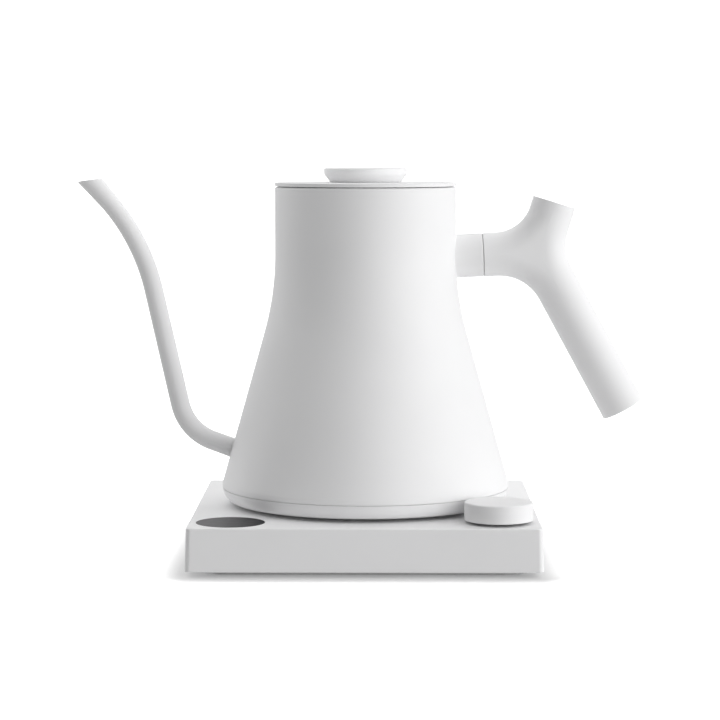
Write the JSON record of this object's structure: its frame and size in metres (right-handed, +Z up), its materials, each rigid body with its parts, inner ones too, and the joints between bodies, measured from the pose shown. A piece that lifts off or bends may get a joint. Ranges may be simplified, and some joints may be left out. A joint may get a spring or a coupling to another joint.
{
  "type": "electric gooseneck kettle",
  "caption": "Cordless electric gooseneck kettle: conical vessel with slender curved spout, flat knobbed lid and counterbalanced forked handle, on a square power base with display and dial.",
  "frame": {"origin": "centre of the power base's footprint, on the surface it stands on, which is also on the vessel's axis", "axes": "+Z up; -X towards the spout, +X towards the handle; -Y is the front, with the display and the dial"},
  "size_m": [0.2874, 0.1736, 0.1955],
  "materials": {
    "white_paint": "matt white powder coat",
    "white_shell": "matt white",
    "dark_plastic": "fine matt texture",
    "display_lens": "smoked, satin gloss",
    "display_panel": "gloss",
    "rubber": "matt",
    "silicone": "matt, translucent white",
    "steel": "satin",
    "aluminium": "machined",
    "brass": "plain",
    "circuit_board": "solder mask",
    "component": "moulded",
    "pale_plastic": "natural moulding",
    "lead": "insulation"
  },
  "bodies": {
    "base": {"base_shell": "white_shell", "base_bottom_cover": "dark_plastic", "base_foot_ring": "rubber", "base_cover_screws": "steel", "cord_gland": "dark_plastic", "connector_hub": "dark_plastic", "hub_contacts": "brass", "hub_seal": "silicone", "hub_screws": "steel", "display_lens": "display_lens", "display_panel": "display_panel", "display_holder": "dark_plastic", "control_board": "circuit_board", "control_board_screws": "steel", "dial_encoder": "steel", "switch_dome": "brass", "power_board": "circuit_board", "power_board_screws": "steel", "supply_transformer": "component", "supply_capacitors": "component", "power_relay": "component", "mains_fuse": "component", "terminal_block": "pale_plastic", "mains_leads": "lead", "connector_leads": "lead", "ribbon_cable": "lead"},
    "glide": {"glide_ring": "pale_plastic"},
    "kettle": {"kettle_body": "white_paint", "spout": "white_paint", "handle_stub": "white_paint", "handle": "white_shell", "handle_screw": "steel", "thumb_cap": "white_shell", "grip_cap": "white_shell", "counterweight": "steel", "heating_plate": "steel", "heat_spreader": "aluminium", "heating_element": "steel", "temperature_probe": "steel", "probe_seal": "silicone", "thermal_cutout": "pale_plastic", "kettle_socket": "dark_plastic", "socket_contacts": "brass", "socket_screws": "steel", "kettle_leads": "lead", "bottom_housing": "white_shell", "housing_seal": "silicone", "housing_studs": "steel", "housing_screws": "steel"},
    "lid": {"lid_disc": "white_paint", "lid_knob": "white_shell", "lid_cup": "dark_plastic", "lid_gasket": "silicone", "lid_screw": "steel"},
    "dial_press": {"switch_slider": "pale_plastic"},
    "dial": {"encoder_shaft": "steel", "dial_knob": "white_shell"}
  },
  "joints": [
    {"name": "kettle_turn", "type": "hinge", "parent": "base", "child": "glide", "pos_m": [0, 0, 0.025], "axis": [0, 0, 1], "continuous": true},
    {"name": "kettle_lift", "type": "slide", "parent": "glide", "child": "kettle", "axis": [0, 0, 1], "range_m": [0, 0.08]},
    {"name": "lid_lift", "type": "slide", "parent": "kettle", "child": "lid", "axis": [0, 0, 1], "range_m": [0, 0.05]},
    {"name": "dial_push", "type": "slide", "parent": "base", "child": "dial_press", "axis": [0, 0, -1], "range_m": [0, 0.0008], "stiffness_N_per_m": 5000, "springref_m": -0.0001, "deforming": ["switch_dome"]},
    {"name": "dial_turn", "type": "hinge", "parent": "dial_press", "child": "dial", "pos_m": [0.0653, -0.0653, 0.03], "axis": [0, 0, 1], "continuous": true}
  ]
}
